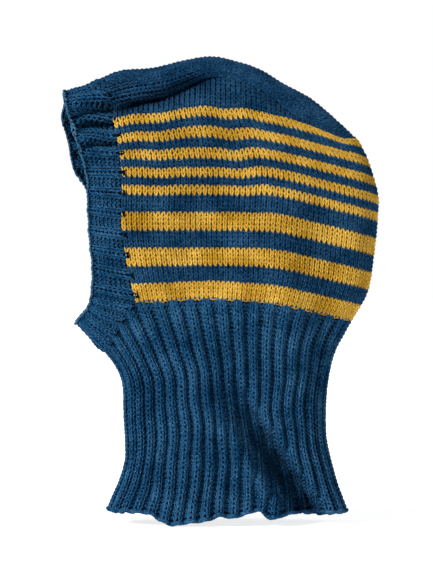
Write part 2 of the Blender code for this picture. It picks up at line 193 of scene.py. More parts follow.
def row_height(x, row):
    """Height of a row where it passes x: it drops to the chin and to the back of the head."""
    neck = np.clip(row / NECK_ROWS, 0, 1)
    level = HEM_Z + (CORNER_Z - HEM_Z) * neck + ROW_PITCH * np.maximum(row - NECK_ROWS, 0)
    chin = np.clip((CHIN_START - x) / CHIN_REACH, 0, 1.2) ** 1.2
    chin_drop = CHIN_DROP * neck ** 2 * chin * ramp(row, NECK_ROWS + CHIN_FADE_ROWS, NECK_ROWS)
    back_dip = dip(x) * (1.3 * ramp(neck, 0, 1) - 0.3)
    top_hump = TOP_HUMP * ramp(row, PANEL_TOP - HUMP_ROWS, PANEL_TOP)
    corner_hump = CORNER_HUMP * ramp(row, NECK_ROWS + HUMP_ROWS, NECK_ROWS)
    free = level - chin_drop - back_dip + bump(x, HUMP_X, HUMP_REACH) * (top_hump + corner_hump)
    tucked = smooth(STRIP_EDGE, x) - TUCK_CLEARANCE - TUCK_PITCH * (PANEL_TOP - row)
    return -TUCK_SOFTNESS * np.logaddexp(-free / TUCK_SOFTNESS, -tucked / TUCK_SOFTNESS)


def ring_point(angle, row):
    """Point of the tube's left half at an angle from the centre front (0) to the back (pi)."""
    cosine = np.cos(angle)
    reach = np.abs(cosine) ** (2 / ROUNDNESS) * np.sign(cosine)
    height = row_height(0.0 * angle, row)
    for _ in range(24):
        nose = smooth(FRONT, height)
        back = smooth(BACK, height)
        x = (nose + back) / 2 - (back - nose) / 2 * reach
        height += 0.4 * (row_height(x, row) - height)
    width = smooth(HALF_WIDTH, height) * np.sin(angle) ** (2 / ROUNDNESS)
    strip_width = smooth(STRIP_HALF_WIDTH, x)
    rise = np.clip((smooth(STRIP_EDGE, x) - height) / SHOULDER, 0, 1)
    shoulder = strip_width + (width - strip_width) * np.sqrt(1 - (1 - rise) ** 2)
    return np.stack([x, -np.minimum(width, shoulder), height], -1)


def along(points, share):
    """Points at shares of the length of a line."""
    length = np.r_[0, np.cumsum(np.linalg.norm(np.diff(points, axis=0), axis=1))]
    return np.stack([np.interp(share * length[-1], length, points[:, k]) for k in range(3)], -1)


def half_ring(row):
    """Closely spaced points of a row's left half."""
    return ring_point(np.linspace(0, np.pi, 400), np.full(400, float(row)))


def corner_x():
    return along(half_ring(NECK_ROWS), np.array([CHIN_COLUMNS / HALF_COLUMNS]))[0, 0]


CORNER_X = corner_x()


def pick_up_x(height):
    """Where the face band is picked up at a height."""
    return smooth(((CORNER_Z - 1, CORNER_X),) + PICK_UP, height)


def neck_line(row, columns):
    """Left-hand points of a neck row at columns counted from the centre front."""
    return along(half_ring(row), np.asarray(columns) / HALF_COLUMNS)


def hood_line(row, shares):
    """Left-hand points of a hood row at shares from the pick-up edge (0) to the back (1)."""
    ring = half_ring(row)
    kept = ring[:, 0] >= pick_up_x(ring[:, 2])
    first = max(int(np.argmax(kept)), 1)
    outside = ring[first - 1, 0] - pick_up_x(ring[first - 1, 2])
    inside = ring[first, 0] - pick_up_x(ring[first, 2])
    cut = ring[first - 1] + (ring[first] - ring[first - 1]) * outside / (outside - inside)
    return along(np.vstack([cut, ring[first:]]), np.asarray(shares))


def strip_line(lean, shares):
    """Points along the crown strip at a lean from its ridge (0) to its left edge (1)."""
    angle = lean * np.pi / 2
    cosine = np.cos(angle)
    shares = np.asarray(shares, float)
    end = strip_end(min(abs(lean), 1.0)) * np.array([1.0, np.sign(lean), 1.0])
    front = STRIP_FRONT + (pick_up_x(STRIP_CORNER_Z) - STRIP_FRONT) * lean ** 2
    x = front + (end[0] - front) * shares
    top = smooth(RIDGE, x)
    edge = np.minimum(smooth(STRIP_EDGE, x), top)
    y = -smooth(STRIP_HALF_WIDTH, x) * np.sin(angle)
    z = edge + (top - edge) * np.abs(cosine) ** STRIP_CROWN * np.sign(cosine)
    line = np.stack([x, y, z], -1)
    return line + (end - line[-1]) * ramp(shares, 0.75, 1.0)[:, None] * (shares[-1] > 0.9)


def strip_end(lean):
    """Where the crown strip meets the top stripe at the back, just above its last row."""
    base = hood_line(PANEL_TOP, np.linspace(0, 1, 400))
    back = base[base[:, 0] > STRIP_BACK]
    point = along(back, np.array([1 - lean]))[0]
    return point + np.array([0.0, 0.0, STRIP_END_CLEARANCE])


def band_root():
    """Outer points of the pick-up line of the left half, one for each stitch and its end."""
    crown = np.stack([strip_line(lean, [0.0])[0] for lean in np.linspace(0, 1, CROWN_STITCHES + 1)])
    rows = np.linspace(PANEL_TOP, NECK_ROWS, 60)
    edge = np.stack([hood_line(row, [0.0])[0] for row in rows])
    edge = along(np.vstack([crown[-1:], edge]), np.linspace(0, 1, EDGE_STITCHES + 1))
    chin = neck_line(NECK_ROWS, np.arange(CHIN_COLUMNS, -1, -1))
    return np.vstack([crown, edge[1:], chin[1:]])


def band_edge(right=False):
    """Cast-off edge of one half of the band, from the crown to the chin."""
    stitch = np.arange(HALF_BAND + 1)
    edge = np.stack([smooth(CAST_OFF, stitch, k) for k in (1, 2, 3)], -1)
    if right:
        lead = ramp(edge[:, 2], *TEMPLE_LOW) * ramp(edge[:, 2], *TEMPLE_HIGH)
        edge[:, 0] -= RIGHT_TEMPLE_LEAD * lead
        edge = mirrored(edge)
    return edge


def mirrored(points):
    return points * np.array([1.0, -1.0, 1.0])


# ---------------- how the worn wool has settled

# Height of the left hem along x
HEM_WAVE = ((-103, 7), (-80, 6), (-70, 5), (-60, -1), (-53, -4.5), (-36, -4), (-19, -2.4), (-10, 1),
            (0, 0), (15, 5), (24, 7), (32, 1), (41, 2.5), (49, 3.4), (60, 2), (92, 2.6))
HEM_FADE = (-225, HEM_Z)

# Soft swells of the left side: how far out, the x of the middle and how much that moves with
# each step up, half of the width, and between which heights each sets in or dies away
SWELLS = (
    (4.0, 40, -0.06, 15, ((-215, -150), (50, 0))),
    (-3.5, 80, 0.0, 16, ((-190, -110), (50, 0))),
    (-8.0, -15, 0.25, 27, ((-105, -60), (65, 25))),
    (5.0, -36, 0.0, 22, ((-110, -150),)),
    (4.0, 84, 0.0, 9, ((-175, -228),)),
)
RIGHT_SWELLS = (
    (3.0, 20, 0.0, 26, ((-105, -150),)),
    (-6.0, -18, 0.0, 15, ((-175, -228),)),
)

# The deep fold low in the left of the neck runs down and back from here
FOLD_START = (13, -178)
FOLD_SLOPE = -0.62
FOLD_FADE = (-135, -235)
FOLD_DEPTH = 40.0
FOLD_SWELL = 6.0

# Folds of the face band at the left temple: the height of each at TEMPLE_X, how deep it is (less
# than nothing for a swell) and half of its width; they rise towards the back
TEMPLE_FOLDS = ((68, -3, 4), (60, 13, 5), (50, -3, 4.5), (42, 8, 3.8), (35, -2, 4))
TEMPLE_X = -127.0
TEMPLE_RISE = 0.2

# Line of the crease beside the crown strip, seen from the side, and the round roll above it
CREASE = ((-135, 70), (-127, 73), (-103, 78), (-82, 82), (-57, 91), (-31, 101), (-10, 106))
CREASE_DEPTH = 10.0
CREASE_FRONT = 4.0
ROLL_SWELL = 7.0


def swells(table, x, z):
    total = 0.0
    for out, middle, slope, reach, fades in table:
        swell = out * bump(x, middle + slope * z, reach)
        for fade in fades:
            swell = swell * ramp(z, *fade)
        total = total + swell
    return total


def deep_fold(x, z):
    """A hollow in the neck, with a soft swell in front of it."""
    line = FOLD_START[0] + FOLD_SLOPE * (z - FOLD_START[1])
    hollow = ramp(x, line - 30, line + 1) * ramp(x, line + 13, line + 1)
    return ramp(z, *FOLD_FADE) * (FOLD_SWELL * bump(x, line - 30, 9) - FOLD_DEPTH * hollow)


def temple_folds(x, z):
    total = 0.0
    for height, depth, reach in TEMPLE_FOLDS:
        line = height + TEMPLE_RISE * (x - TEMPLE_X)
        total = total - depth * bump(z, line, reach)
    return total * ramp(x, -94, -103) * ramp(x, -135, -124)


def crown_roll(x, z):
    """The roll beside the crown strip, and the crease under it, which is deepest at the front."""
    above = z - smooth(CREASE, x)
    crease = CREASE_DEPTH + CREASE_FRONT * ramp(x, -95, -105)
    return (ROLL_SWELL * bump(above, 8.5, 7) - crease * bump(above, -2.5, 3.8)) * ramp(x, -10, -42)


def pushed_back(x, z, right):
    """How far the fabric moves backwards: wandering ribs, the hem's corners, chin and temple."""
    wander = 0.9 * np.sin(z / 19 + x / 26) + 0.4 * np.sin(z / 7.3 - x / 15)
    return (wander * ramp(z, -105, -150)
            + ramp(z, -215, -262) * (3.0 * ramp(x, 50, 90) - 4.0 * ramp(x, -60, -90))
            + 3.0 * bump(z, -116, 7) * ramp(x, -100, -115)
            - 4.0 * right * bump(z, 28, 20) * ramp(x, -102, -118)
            + 1.5 * bump(z, -60, 45) * ramp(x, 60, 100))


def lifted(x, y, z, left, right):
    """How far the fabric moves up: the ripple in the left stripes, the brow and the hem."""
    drift = x - 0.25 * (72 - z)
    ripple = 1.3 * bump(drift, 12, 9) - 1.8 * bump(drift, -7, 9) - 1.6 * bump(x, -61, 15)
    hem = np.where(y < 0, smooth(HEM_WAVE, x) * left, right * 3.0 * np.sin(x / 17))
    hem = hem + 6.0 * (1 - left) * ramp(x, -80, -98)
    return (left * ripple * ramp(z, -30, 45) * ramp(z, 100, 84)
            + 2.6 * bump(x, -98, 15) * ramp(z, 88, 98)
            - 3.6 * left * bump(x, -100, 13) * ramp(z, 25, 62) * ramp(z, 84, 76)
            - 4.0 * bump(x, -126, 10) * ramp(z, 85, 95)
            + ramp(z, *HEM_FADE) * hem)


def settled(points):
    """The hood as it hangs: soft swells and folds in its sides, and a wavy hem."""
    x, y, z = points[..., 0], points[..., 1], points[..., 2]
    left = ramp(-y, 4, 30)
    right = ramp(y, 4, 30)
    roll = crown_roll(x, z)
    left_out = roll + swells(SWELLS, x, z) + deep_fold(x, z) + temple_folds(x, z)
    right_out = roll + swells(RIGHT_SWELLS, x, z)
    sideways = right * right_out - left * left_out
    return points + np.stack([pushed_back(x, z, right), sideways, lifted(x, y, z, left, right)], -1)


# ---------------- sheets of fabric

def curve_weights(t):
    """Catmull-Rom weights of four neighbours, t of the way from the second to the third."""
    first = -t + 2 * t ** 2 - t ** 3
    second = 2 - 5 * t ** 2 + 3 * t ** 3
    third = t + 4 * t ** 2 - 3 * t ** 3
    return np.stack([first, second, third, t ** 3 - t ** 2], -1) / 2


def unit(vectors):
    return vectors / np.maximum(np.linalg.norm(vectors, axis=-1, keepdims=True), 1e-9)


def grid_normals(points, closed=False):
    """Unit normals of a grid of rows and columns; u runs to the right of v seen from outside."""
    if closed:
        across = np.roll(points, -1, 1) - np.roll(points, 1, 1)
    else:
        across = np.gradient(points, axis=1)
    return unit(np.cross(across, np.gradient(points, axis=0)))


class Sheet:
    """Smooth middle surface of a fabric, through a grid of points spaced evenly in u and v."""

    def __init__(self, points, first_u, first_v, closed=False):
        self.points = settled(points)
        self.first_u = first_u
        self.first_v = first_v
        self.closed = closed

    def at(self, u, v):
        """Points of the surface; past its ends the last row or column is repeated."""
        rows, columns = self.points.shape[:2]
        across = (u - self.first_u) / FINE
        up = (v - self.first_v) / HALF_ROW
        row = np.clip(np.floor(up), 0, rows - 2).astype(int)
        column = np.floor(across).astype(int)
        if not self.closed:
            column = np.clip(column, 0, columns - 2)
        row_weight = curve_weights(np.clip(up - row, 0, 1))
        column_weight = curve_weights(np.clip(across - column, 0, 1))
        total = 0.0
        for m in range(4):
            near_row = np.clip(row + m - 1, 0, rows - 1)
            for n in range(4):
                near = column + n - 1
                near = near % columns if self.closed else np.clip(near, 0, columns - 1)
                weight = row_weight[..., m] * column_weight[..., n]
                total = total + weight[..., None] * self.points[near_row, near]
        return total

    def frame(self, u, v):
        """Points, and unit normals towards the outside."""
        reach = 0.3
        across = self.at(u + reach, v) - self.at(u - reach, v)
        up = self.at(u, v + reach) - self.at(u, v - reach)
        return self.at(u, v), unit(np.cross(across, up))


def rib_wave(u):
    return np.cos(2 * np.pi * u / RIB_STITCHES)


def rib_profile(u, sharpness=RIB_SHARPNESS):
    """Height of the fabric across a rib: narrow crests between wider valleys."""
    wave = rib_wave(u)
    return wave - sharpness * (1 - wave ** 2)


def rib_warped(u, strength=1.0):
    """Columns moved towards the valleys, because the knit stitches keep their full width."""
    return u + strength * RIB_WARP * np.sin(2 * np.pi * u / RIB_STITCHES)


def rib_height(points):
    """How deep the ribs fold where the stitches of a ring are this close together."""
    reach = int(RIB_STITCHES / 2 / FINE)
    across = np.roll(points, -reach, 1) - np.roll(points, reach, 1)
    pitch = np.linalg.norm(across, axis=-1) / RIB_STITCHES
    slack = np.clip(STITCH_WIDTH / pitch - 1, RIB_LEAST, RIB_MOST)
    return RIB_STITCHES * pitch / np.pi * np.sqrt(slack)


def neck_sheet():
    """Neck: u counts from the centre front round by the left side, v from the hem."""
    columns = np.arange(0, NECK_STITCHES / 2 + FINE / 2, FINE)
    rows = np.arange(0, NECK_ROWS + 1.6, HALF_ROW)
    spread = 2 * HALF_COLUMNS / NECK_STITCHES
    lines = [neck_line(row, rib_warped(columns, ramp(row, *RIB_FADE)) * spread) for row in rows]
    half = np.stack(lines)
    ring = np.concatenate([half, mirrored(half)[:, -2:0:-1]], axis=1)
    below = [ring[0] + (ring[0] - ring[2]) * k / 2 for k in (3, 2, 1)]
    ring = np.concatenate([np.stack(below), ring])
    rows = np.r_[-3 * HALF_ROW, -2 * HALF_ROW, -HALF_ROW, rows]
    u = np.arange(ring.shape[1]) * FINE
    fade = ramp(rows, *RIB_FADE)[:, None]
    sharpness = RIB_SHARPNESS * ramp(rows, *SHARPNESS_FADE)[:, None]
    height = rib_height(ring) * fade * rib_profile(u, sharpness)
    offset = (height - PANEL_DEPTH - NECK_DEPTH * fade)[..., None]
    return Sheet(ring + grid_normals(ring, True) * offset, 0.0, rows[0], closed=True)


# Where the crown strip's raised roll begins and is whole, how far its edges hang down over the
# sides, how far a side goes in under it, how far up past the edge, and over how many columns
ROLL_X = (0.0, -45.0)
ROLL_DROP = 4.0
TUCK_FRONT = 16.0
TUCK_BACK = 3.0
UPPER_LAP = 1.2
TUCK_COLUMNS = 5


def roll_share(x):
    """The strip is a raised round roll at the front, and lies flatter behind the crown."""
    return ramp(x, *ROLL_X)


def hood_half(rows, columns):
    """Left half of the hood below the crown."""
    return np.stack([hood_line(row, columns / SIDE_COLUMNS) for row in rows])


def upper_half(rows, columns):
    """The side above the top stripe: rows go straight up and in under the crown strip."""
    base = hood_line(PANEL_TOP, columns / SIDE_COLUMNS)
    edge = smooth(STRIP_EDGE, base[:, 0])
    room = np.maximum(edge - base[:, 2], LEAST_ROOM)
    strip_y = np.minimum(smooth(STRIP_HALF_WIDTH, base[:, 0]), -base[:, 1])
    tuck = TUCK_BACK + (TUCK_FRONT - TUCK_BACK) * roll_share(base[:, 0])
    tuck = tuck * ramp(columns, 0, TUCK_COLUMNS)
    lines = []
    for row in rows:
        share = np.clip((row - PANEL_TOP) * ROW_PITCH / room, 0, UPPER_LAP)
        y = -(strip_y - (strip_y + base[:, 1]) * np.sqrt(np.maximum(1 - share, 0)))
        y += tuck * ramp(share, 0.2, 0.9)
        lines.append(np.stack([base[:, 0], y, base[:, 2] + room * share], -1))
    return np.stack(lines)


def hood_sheet():
    """Both sides and the back: u counts from the left pick-up edge round to the right one."""
    columns = np.arange(0, SIDE_COLUMNS + FINE / 2, FINE)
    rows = np.arange(NECK_ROWS - 1.5, PANEL_TOP + 1.6, HALF_ROW)
    half = hood_half(rows, columns)
    whole = np.concatenate([half, mirrored(half)[:, -2::-1]], axis=1)
    return Sheet(whole - grid_normals(whole) * PANEL_DEPTH, 0.0, rows[0])


def upper_sheet(right):
    """Side above the top stripe, with u and v as in the sheet of the sides and the back."""
    columns = np.arange(0, SIDE_COLUMNS + FINE / 2, FINE)
    below = np.arange(PANEL_TOP - 1.5, PANEL_TOP, HALF_ROW)
    rows = np.arange(PANEL_TOP, PANEL_TOP + UPPER_ROWS + 1.1, HALF_ROW)
    half = np.concatenate([hood_half(below, columns), upper_half(rows, columns)])
    first = 0.0
    if right:
        half = mirrored(half)[:, ::-1]
        first = float(SIDE_COLUMNS)
    return Sheet(half - grid_normals(half) * PANEL_DEPTH, first, below[0])


def strip_sheet():
    """Crown strip: u counts from its left edge to its right, v from the back to the front."""
    u = np.arange(-CROWN_STITCHES - 1, CROWN_STITCHES + 1 + FINE / 2, FINE)
    v = np.arange(-1.0, STRIP_ROWS + 1.1, HALF_ROW)
    shares = np.linspace(0, 1, 240)
    lines = [strip_line(-place / CROWN_STITCHES, shares) for place in u]
    at = np.clip(1 - v / STRIP_ROWS, 0, 1)
    grid = np.stack([along(line, at) for line in lines], axis=1)
    grid[:2] = grid[2] + np.array([[-3.0, 0.0, -3.0], [-1.0, 0.0, -1.5]])[:, None]
    grid[-2:] = grid[-3] + (grid[-3] - grid[-5]) * np.array([0.5, 1.0]).reshape(2, 1, 1)
    inside = ramp(v, 3, -1)[:, None]
    grid[..., 0] -= 1.5 * inside
    grid[..., 2] -= 1.0 * inside
    side = np.abs(u) / CROWN_STITCHES
    roll = roll_share(grid[..., 0])
    out = grid_normals(grid)
    grid[..., 2] -= ROLL_DROP * ramp(side, 0.6, 1.05) * (0.4 + 0.6 * roll)
    return Sheet(grid - out * STRIP_DEPTH, u[0], v[0])


def band_half_grid(right, rows):
    """Half of the face band's outer skin, from the crown to the chin."""
    root = band_root()
    if right:
        root = mirrored(root)
    edge = band_edge(right)
    stitch = np.arange(HALF_BAND + 1.0)
    fine = rib_warped(np.arange(0, BAND_STITCHES / 2 + FINE / 2, FINE))
    chin = NECK_STITCHES / 2 * CHIN_COLUMNS / HALF_COLUMNS
    known = (0, BAND_STITCHES / 2 - chin, BAND_STITCHES / 2)
    fine = np.interp(fine, known, (0, HALF_BAND - CHIN_COLUMNS, HALF_BAND))
    root = np.stack([np.interp(fine, stitch, root[:, k]) for k in range(3)], -1)
    edge = np.stack([np.interp(fine, stitch, edge[:, k]) for k in range(3)], -1)
    reach = edge - root
    usable = 1 - EDGE_ROOM / np.linalg.norm(reach, axis=1, keepdims=True)
    return np.stack([root + reach * usable * row / BAND_ROWS for row in rows])


def band_sheet():
    """Face band: u counts from the crown down the right side and up the left, v from its root."""
    rows = np.arange(-1.0, BAND_ROWS + 2.1, HALF_ROW)
    right = band_half_grid(True, rows)
    left = band_half_grid(False, rows)
    ring = np.concatenate([right, left[:, -2:0:-1]], axis=1)
    u = np.arange(ring.shape[1]) * FINE
    share = np.clip(rows / BAND_ROWS, 0, 1)[:, None]
    bulge = 4 * BAND_BULGE * share * (1 - share)
    fade = BAND_RIB_SHARE * (1 - EDGE_RIB_LOSS * ramp(rows, *EDGE_RIB_FADE)[:, None])
    height = rib_height(ring) * rib_profile(u) * fade
    offset = (height + bulge - BAND_DEPTH)[..., None]
    return Sheet(ring + grid_normals(ring, True) * offset, 0.0, rows[0], closed=True)


# ---------------- yarn

def rim(start, end, behind):
    """Faces along an edge of a slab, between its outer points and those behind them."""
    return np.stack([start, start + behind, end + behind, end], -1)


class Knitting:
    """Collects tubes of yarn, and the lining behind them, into one mesh."""

    def __init__(self):
        self.vertices = []
        self.quads = []
        self.places = []
        self.painted_shade_quads = []
        self.count = 0

    def add(self, vertices, quads, places):
        self.vertices.append(vertices)
        self.quads.append(quads + self.count)
        self.places.append(places)
        self.count += len(vertices)

    def tube(self, path, normals, radius, closed=False):
        """Yarn along a path; normals say which way is out, to keep the tube from twisting."""
        if closed:
            heading = np.roll(path, -1, 0) - np.roll(path, 1, 0)
        else:
            heading = np.gradient(path, axis=0)
        heading = unit(heading)
        side = unit(np.cross(heading, normals))
        out = np.cross(side, heading)
        turn = np.arange(SIDES) * 2 * np.pi / SIDES
        spokes = np.cos(turn)[:, None] * out[:, None] + np.sin(turn)[:, None] * side[:, None]
        radius = np.broadcast_to(radius, len(path))[:, None, None]
        vertices = (path[:, None] + spokes * radius).reshape(-1, 3)
        step = np.linalg.norm(np.diff(np.vstack([path, path[:1]]), axis=0), axis=1)
        length = np.r_[0, np.cumsum(step)]
        last = len(path) if closed else len(path) - 1
        ring = np.arange(last)[:, None]
        corner = np.arange(SIDES)[None]
        after = (ring + 1) % len(path)
        beside = (corner + 1) % SIDES
        quads = np.stack([ring * SIDES + corner, ring * SIDES + beside,
                          after * SIDES + beside, after * SIDES + corner], -1).reshape(-1, 4)
        near = np.broadcast_to(length[:last, None], (last, SIDES))
        far = np.broadcast_to(length[1:last + 1, None], (last, SIDES))
        low = np.broadcast_to(corner / SIDES, (last, SIDES))
        high = low + 1 / SIDES
        places = np.stack([near, low, near, high, far, high, far, low], -1).reshape(-1, 4, 2)
        if not closed:
            ends = np.array([[3, 2, 1, 0], [5, 4, 3, 0]])
            tips = np.array([[0, 1, 2, 3], [0, 3, 4, 5]]) + (len(path) - 1) * SIDES
            quads = np.vstack([quads, ends, tips])
            places = np.concatenate([places, np.zeros((4, 4, 2))])
        self.add(vertices, quads, places)

    def lining(self, sheet, first_u, last_u, first_v, last_v, closed=False):
        """Thin closed sheet in the middle of the fabric, which shuts the holes in the knitting."""
        columns = int(round((last_u - first_u) * 2))
        rows = max(int(round(last_v - first_v)), 1) + 1
        u = np.linspace(first_u, last_u, columns + 1)
        if closed:
            u = u[:-1]
        v = np.linspace(first_v, last_v, rows)
        u, v = np.meshgrid(u, v)
        middle, normal = sheet.frame(u, v)
        self.slab(middle, normal * LINING, closed)

    def slab(self, middle, half_thickness, closed):
        """Closed slab round a grid of points, which takes the second material, its wool darkened as
        painted shade.
        """
        rows, columns = middle.shape[:2]
        outer = (middle + half_thickness).reshape(-1, 3)
        inner = (middle - half_thickness).reshape(-1, 3)
        behind = rows * columns
        index = np.arange(behind).reshape(rows, columns)
        left = index
        right = np.roll(index, -1, 1)
        if not closed:
            left = left[:, :-1]
            right = right[:, :-1]
        face = np.stack([left[:-1], right[:-1], right[1:], left[1:]], -1).reshape(-1, 4)
        parts = [face, face[:, ::-1] + behind, rim(left[0], right[0], behind),
                 rim(right[-1], left[-1], behind)]
        if not closed:
            parts.append(rim(index[1:, 0], index[:-1, 0], behind))
            parts.append(rim(index[:-1, -1], index[1:, -1], behind))
        quads = np.vstack(parts)
        vertices = np.vstack([outer, inner])
        places = vertices[quads][..., [0, 2]] * np.array([1.0, 0.3])
        first = sum(map(len, self.quads))
        self.painted_shade_quads.append(np.arange(first, first + len(quads)))
        self.add(vertices, quads, places)

    def piece(self, name, materials):
        """The mesh, with the first material on the yarn and the second, a darker copy painted as
        shade, on the lining.
        """
        vertices = np.vstack(self.vertices) * MM
        quads = np.vstack(self.quads)
        places = np.concatenate(self.places)
        shade = np.zeros(len(quads), np.int32)
        if self.painted_shade_quads:
            shade[np.concatenate(self.painted_shade_quads)] = 1
        mesh = bpy.data.meshes.new(name)
        mesh.vertices.add(len(vertices))
        mesh.vertices.foreach_set("co", vertices.astype(np.float32).ravel())
        mesh.loops.add(quads.size)
        mesh.loops.foreach_set("vertex_index", quads.astype(np.int32).ravel())
        mesh.polygons.add(len(quads))
        mesh.polygons.foreach_set("loop_start", np.arange(0, quads.size, 4, dtype=np.int32))
        mesh.update(calc_edges=True)
        layer = mesh.uv_layers.new(name="yarn")
        layer.data.foreach_set("uv", places.astype(np.float32).ravel())
        mesh.shade_smooth()
        for material in materials[:1 + bool(self.painted_shade_quads)]:
            mesh.materials.append(material)
        mesh.polygons.foreach_set("material_index", shade)
        return placed(name, mesh)


def placed(name, data):
    """Puts a new object in the scene."""
    thing = bpy.data.objects.new(name, data)
    bpy.context.collection.objects.link(thing)
    return thing


def unevenness(random, count, closed):
    """A small random number for each stitch of a row, and one for its far end."""
    values = random.normal(0, 1, count + 1).clip(-2, 2)
    if closed:
        values[-1] = values[0]
    return values


def knit_row(knitting, sheet, row, first, last, random, ribbed=0.0, closed=False):
    """One row of stitches from column first to last. In a rib the yarn goes behind for a purl."""
    count = int(last - first)
    t = first + np.arange(count * RINGS + (0 if closed else 1)) / RINGS
    stitches = np.arange(count + 1) + first
    sway = np.interp(t, stitches, unevenness(random, count, closed))
    tension = np.interp(t, stitches, unevenness(random, count, closed))
    size = np.interp(t, stitches, unevenness(random, count, closed))
    u = t + LOOP_LEAN * (1 + LEAN_VARIES * tension) * np.sin(4 * np.pi * t)
    u = u + LOOP_GROUPING * np.sin(2 * np.pi * t)
    height = LOOP_HEIGHT * (1 + HEIGHT_VARIES * tension)
    v = row + 0.5 - height * np.cos(2 * np.pi * t) + LOOSENESS * sway
    faced = np.clip(3 * rib_wave(t), -1, 1)
    side = 1 + (faced - 1) * ribbed
    deep = -LOOP_DEPTH * np.cos(4 * np.pi * t) * side + DEPTH_VARIES * tension
    point, normal = sheet.frame(u, v)
    radius = YARN_RADIUS * (1 + RADIUS_VARIES * size)
    knitting.tube(point + normal * deep[:, None], normal, radius, closed)


def fabric(name, material, sheet, rows, span, random, ribbed=0.0, closed=False,
           lap=(0.0, 0.0)):
    """A piece of knitting: its rows of yarn, and a lining that may lap past them."""
    knitting = Knitting()
    first, last = span
    for row in rows:
        knit_row(knitting, sheet, row, first, last, random, ribbed, closed)
    inset = 0.0 if closed else 0.3
    low, high = rows[0] - lap[0], rows[-1] + 1 + lap[1]
    knitting.lining(sheet, first + inset, last - inset, low, high, closed)
    piece = knitting.piece(name, material)
    return piece


def twisted_cord(knitting, path, normals, radius, pitch, closed=False):
    """Two strands laid round each other along a path."""
    heading = np.roll(path, -1, 0) - np.roll(path, 1, 0) if closed else np.gradient(path, axis=0)
    heading = unit(heading)
    side = unit(np.cross(heading, normals))
    out = np.cross(side, heading)
    step = np.linalg.norm(np.diff(path, axis=0), axis=1)
    length = np.r_[0, np.cumsum(step)]
    total = length[-1] + (np.linalg.norm(path[0] - path[-1]) if closed else 0.0)
    turns = np.round(total / pitch)
    angle = length / total * turns * 2 * np.pi
    for start in (0.0, np.pi):
        swing = np.cos(angle + start)[:, None] * out + np.sin(angle + start)[:, None] * side
        knitting.tube(path + swing * radius * 0.85, normals, radius, closed)


# ---------------- materials

def link(tree, source, target):
    tree.links.new(source, target)


def set_inputs(node, **values):
    """Constant inputs by name, with an underscore for each space."""
    for name, value in values.items():
        node.inputs[name.replace("_", " ")].default_value = value


def math_node(tree, operation, first, second):
    node = tree.nodes.new("ShaderNodeMath")
    node.operation = operation
    for k, value in enumerate((first, second)):
        if isinstance(value, (int, float)):
            node.inputs[k].default_value = value
        else:
            link(tree, value, node.inputs[k])
    return node.outputs[0]


def noise_node(tree, vector, scale, detail, roughness=0.5):
    node = tree.nodes.new("ShaderNodeTexNoise")
    set_inputs(node, Scale=scale, Detail=detail, Roughness=roughness)
    link(tree, vector, node.inputs["Vector"])
    return node.outputs["Fac"]


def ramp_node(tree, value, stops):
    node = tree.nodes.new("ShaderNodeValToRGB")
    elements = node.color_ramp.elements
    while len(elements) < len(stops):
        elements.new(0.5)
    for element, (place, colour) in zip(elements, stops):
        element.position = place
        element.color = (*colour, 1.0)
    link(tree, value, node.inputs["Fac"])
    return node.outputs["Color"]


def bump_node(tree, height, distance, strength, below=None):
    node = tree.nodes.new("ShaderNodeBump")
    set_inputs(node, Strength=strength, Distance=distance)
    link(tree, height, node.inputs["Height"])
    if below is not None:
        link(tree, below, node.inputs["Normal"])
    return node.outputs["Normal"]


# The yarn has three plies and one turn in so many millimetres. The scales are of the streaks
# along the yarn, and of patches, flecks and fuzz in the fabric; the shares say how far each of
# them changes the tone, the groove's being painted shade between the plies and painted highlight
# on their crests; the depths are how far a groove, streak or fibre stands out, in metres.
PLIES = 3
TWIST_PITCH = 7.0
STREAK_LENGTH = 0.35
STREAK_TURNS = 5.0
FIBRE_SCALE = 2.2
PATCH_SCALE = 45.0
FLECK_SCALE = 520.0
FUZZ_SCALE = 1400.0
PATCH_SHARE = 0.35
GROOVE_PAINTED_SHADE_SHARE = 0.22
GROOVE_MIDDLE = 0.6
PLY_DEPTH = 0.0005
STREAK_DEPTH = 0.00025
FUZZ_DEPTH = 0.0003
# Painted shade: the lining takes a copy of its wool darkened to this share of its tones
LINING_PAINTED_SHADE = 0.08
WHITE = (1.0, 1.0, 1.0, 1.0)

# Each wool's dark, middle and light tone, the tint of its halo and how strong its flecks are
TONES = (0.28, 0.5, 0.72)
BLUE = ((0.0, 0.007, 0.026), (0.0024, 0.041, 0.106), (0.048, 0.150, 0.280), (0.25, 0.5, 0.75), 0.45)
# Painted shade: the blue wool darkened to about 0.7 for the hood's stockinette, that is the stripes'
# blue bands, the upper sides and the crown strip
BLUE_PAINTED_SHADE = ((0.0, 0.005, 0.019), (0.0020, 0.029, 0.077), (0.036, 0.110, 0.215), (0.25, 0.5, 0.75),
             0.45)
LIGHT_BLUE = ((0.004, 0.030, 0.070), (0.022, 0.085, 0.160), (0.075, 0.185, 0.300), (0.35, 0.6, 0.8),
              0.45)
YELLOW = ((0.14, 0.060, 0.001), (0.45, 0.240, 0.013), (0.90, 0.600, 0.140), (1.0, 0.8, 0.45), 0.2)


